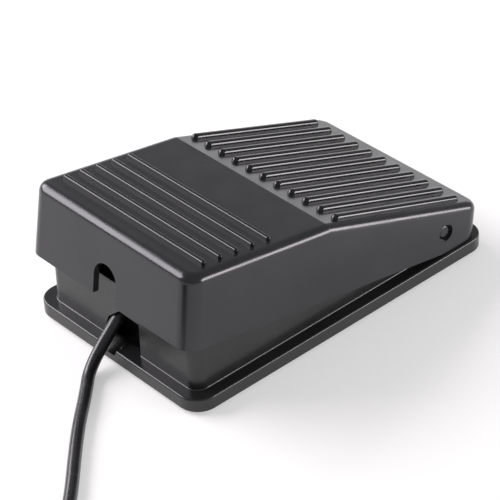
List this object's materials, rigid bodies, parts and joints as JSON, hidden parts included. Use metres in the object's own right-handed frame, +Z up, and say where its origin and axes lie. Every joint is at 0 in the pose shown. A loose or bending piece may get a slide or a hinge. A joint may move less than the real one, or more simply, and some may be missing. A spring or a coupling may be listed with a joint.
{
  "type": "sewing machine pedal",
  "caption": "Wedge-shaped foot pedal: a ribbed treadle hinged at its low end over a shallow base tray, with a sprung switch inside and a thin cord to a plug.",
  "frame": {"origin": "on the floor under the middle of the base, at the bottom of the rubber feet", "axes": "+X from the cord end towards the hinge end, +Y across to the left of someone looking along +X, +Z up"},
  "size_m": [0.2197, 0.0915, 0.0409],
  "materials": {
    "base_plastic": "fine satin grain, moulded",
    "cover_plastic": "satin black, moulded",
    "foot_rubber": "matt",
    "pin_steel": "turned",
    "pin_black": "black oxide",
    "spring_steel": "drawn wire",
    "switch_body": "phenolic moulding",
    "plunger_plastic": "red acetal",
    "lever_steel": "rolled strip",
    "contact_brass": "stamped",
    "zinc_steel": "bright zinc",
    "cord_sheath": "smooth black vinyl sheath",
    "lead_red": "vinyl insulation",
    "lead_black": "vinyl insulation",
    "plug_plastic": "moulded vinyl",
    "plug_metal": "nickel plate",
    "insulator": "moulded ring"
  },
  "bodies": {
    "base": {"base_tray": "base_plastic", "rubber_feet": "foot_rubber", "hinge_pin": "pin_black", "pin_clips": "spring_steel", "return_spring_left": "spring_steel", "return_spring_right": "spring_steel", "switch_case": "switch_body", "switch_lid": "switch_body", "lever_pin": "pin_steel", "terminal_common": "contact_brass", "terminal_open": "contact_brass", "terminal_closed": "contact_brass", "switch_bracket": "zinc_steel", "bracket_screws": "zinc_steel", "switch_screws": "zinc_steel", "switch_nuts": "zinc_steel", "cord_clamp": "base_plastic", "clamp_screws": "zinc_steel", "cord_inner": "cord_sheath", "lead_common": "lead_red", "lead_open": "lead_black", "lead_connectors": "contact_brass", "cord_lead": "cord_sheath", "cord_coil": "cord_sheath", "cord_tail": "cord_sheath", "plug_boot": "plug_plastic", "plug_body": "plug_plastic", "plug_sleeve": "plug_metal", "plug_insulator": "insulator", "plug_tip": "plug_metal"},
    "treadle": {"treadle_cover": "cover_plastic"},
    "lever": {"switch_lever": "lever_steel"},
    "plunger": {"switch_plunger": "plunger_plastic"},
    "blade": {"contact_blade": "contact_brass"}
  },
  "joints": [
    {"name": "treadle_press", "type": "hinge", "parent": "base", "child": "treadle", "pos_m": [0.037, 0, 0.0113], "axis": [0, -1, 0], "range_deg": [0, 8.8], "stiffness_Nm_per_rad": 5, "springref_deg": -5.73, "deforming": ["return_spring_left", "return_spring_right"]},
    {"name": "lever_hinge", "type": "hinge", "parent": "base", "child": "lever", "pos_m": [-0.0155, -0.01, 0.02], "axis": [0, 1, 0], "range_deg": [0, 11]},
    {"name": "plunger_slide", "type": "slide", "parent": "base", "child": "plunger", "axis": [0, 0, -1], "range_m": [0, 0.0011]},
    {"name": "contact_blade_hinge", "type": "hinge", "parent": "base", "child": "blade", "pos_m": [-0.013, -0.01, 0.0125], "axis": [0, 1, 0], "range_deg": [0, 4]}
  ],
  "couplings": [
    {"joint": "lever_hinge", "follows": "treadle_press", "ratio": 1.2499},
    {"joint": "plunger_slide", "follows": "treadle_press", "m_per_rad": 0.00716},
    {"joint": "contact_blade_hinge", "follows": "treadle_press", "ratio": 0.4545}
  ]
}
